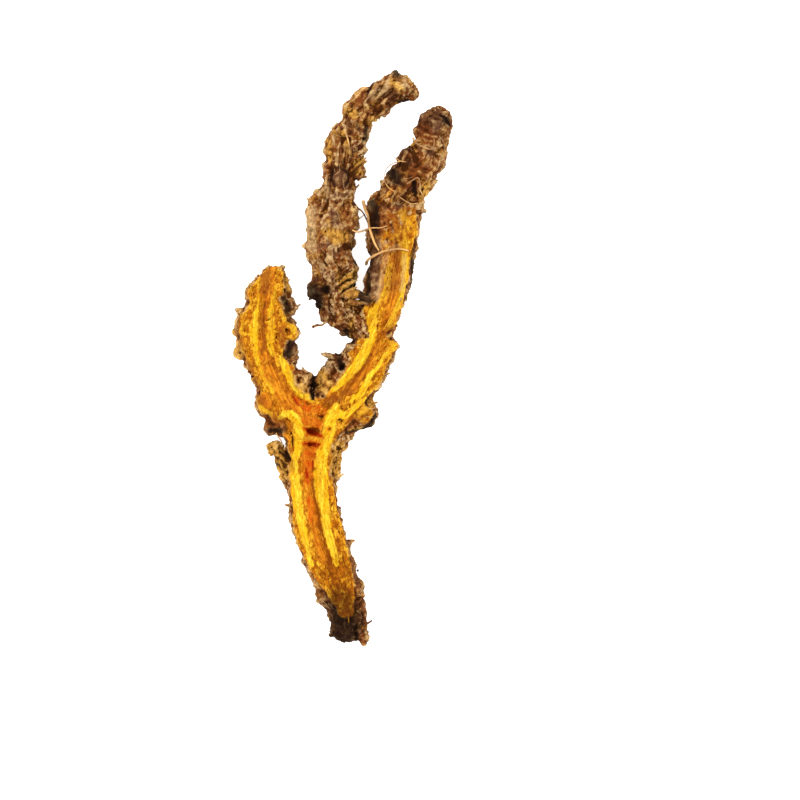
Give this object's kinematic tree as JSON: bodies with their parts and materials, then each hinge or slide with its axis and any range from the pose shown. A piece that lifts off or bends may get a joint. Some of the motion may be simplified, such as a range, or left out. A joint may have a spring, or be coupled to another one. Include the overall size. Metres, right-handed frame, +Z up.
{
  "type": "coptis rhizome slice",
  "caption": "Dried, branching rhizome cut lengthwise: a forked trunk with knobby bark, its flat side opened by the knife to show fibrous golden flesh.",
  "frame": {"origin": "middle of the rhizome's bounding box, on the surface that it lies on", "axes": "+Z up, out of the cut face; +Y from the lower end of the trunk towards the branch tips; +X across, towards the right-hand branch"},
  "size_m": [0.0243, 0.0636, 0.0053],
  "materials": {
    "dried_rhizome": "matt, fibrous"
  },
  "bodies": {
    "root": {"rhizome": "dried_rhizome"}
  },
  "joints": []
}
